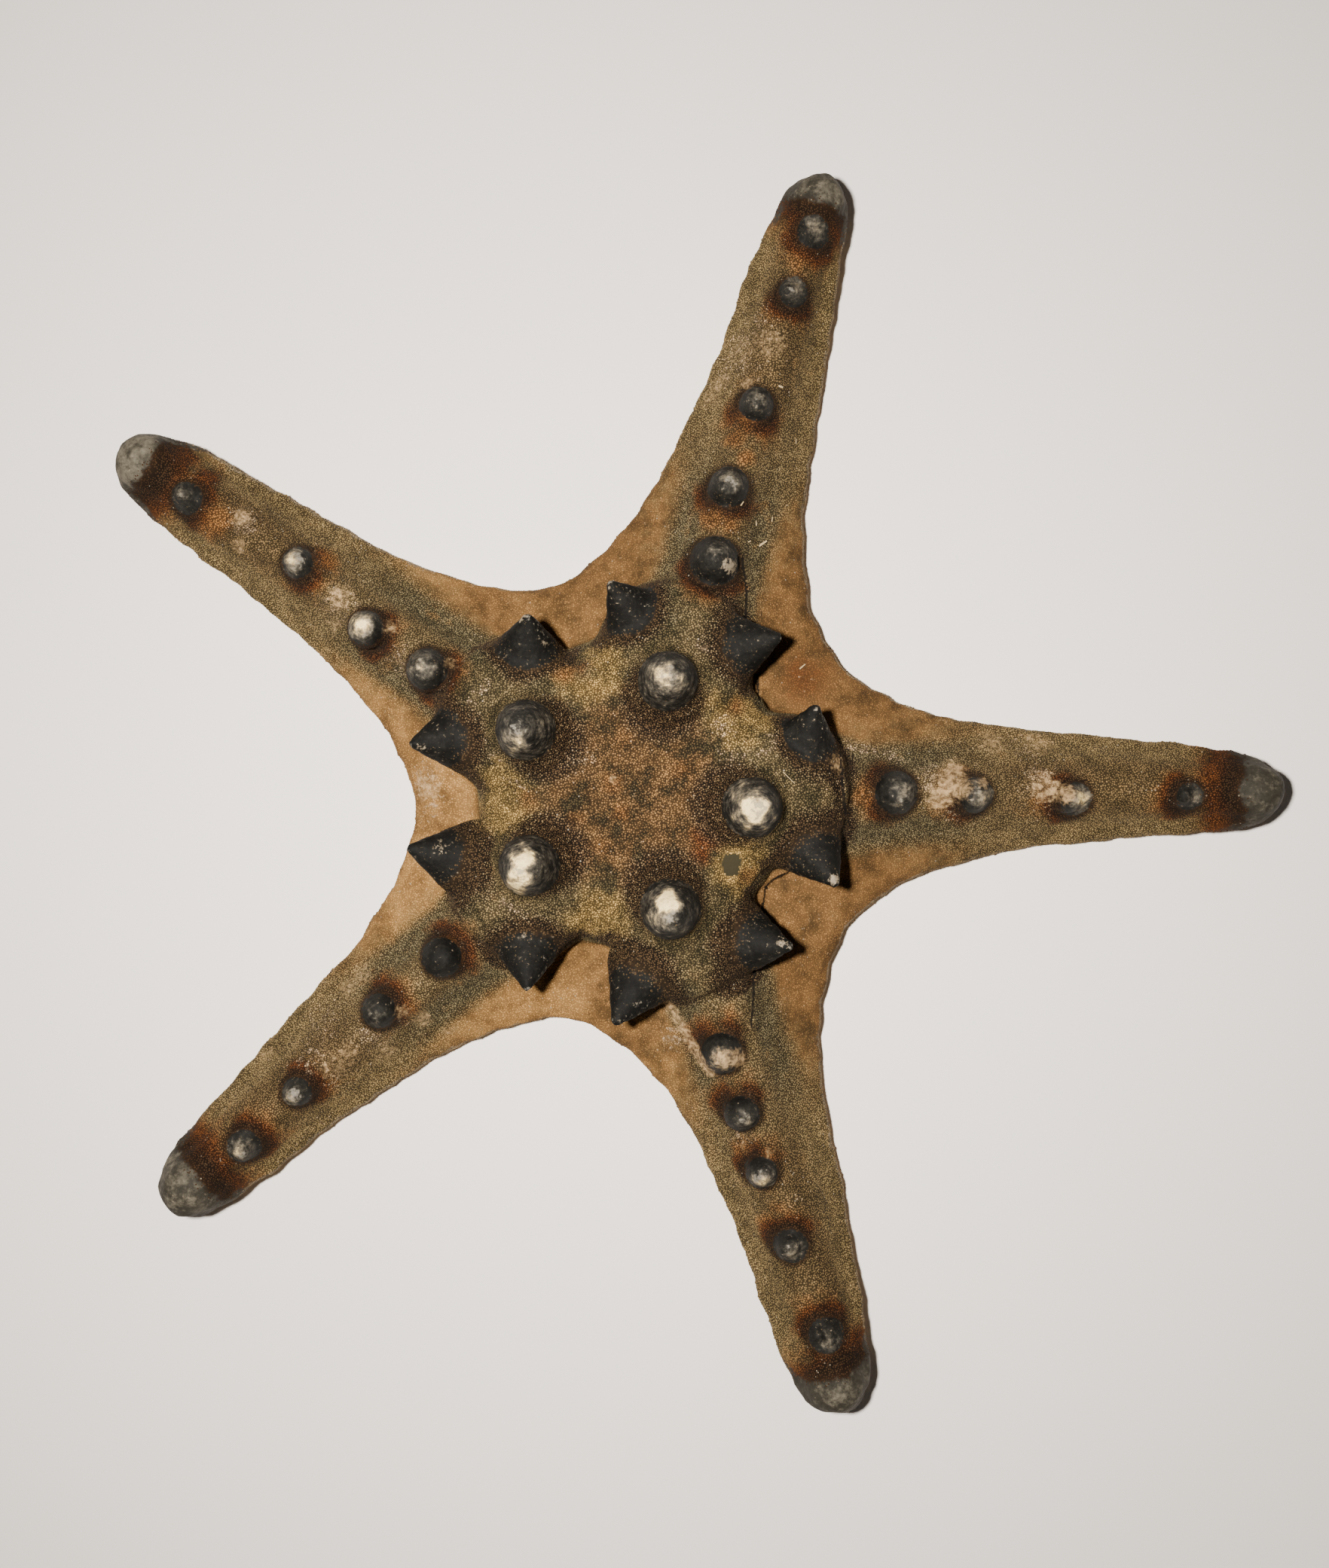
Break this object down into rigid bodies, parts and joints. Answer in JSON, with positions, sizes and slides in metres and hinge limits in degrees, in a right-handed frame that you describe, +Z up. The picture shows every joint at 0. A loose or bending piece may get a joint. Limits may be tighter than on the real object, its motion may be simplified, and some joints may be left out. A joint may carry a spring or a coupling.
{
  "type": "dried starfish",
  "caption": "Dried horned sea star lying flat, with a raised disc, blunt horns, knobbed arm ridges, upturned tips and grooves under the arms.",
  "frame": {"origin": "under the middle of the bounding box, on the surface that the starfish lies on", "axes": "+Z up out of the back that bears the horns, +Y along the longer side of the outline, +X along the arm that has one straight to its side"},
  "size_m": [0.1434, 0.151, 0.03],
  "materials": {
    "starfish_skin": "dry granular skin, ochre to olive brown, with bare grey-black horns worn pale at their tips"
  },
  "bodies": {
    "root": {"starfish": "starfish_skin"}
  },
  "joints": []
}
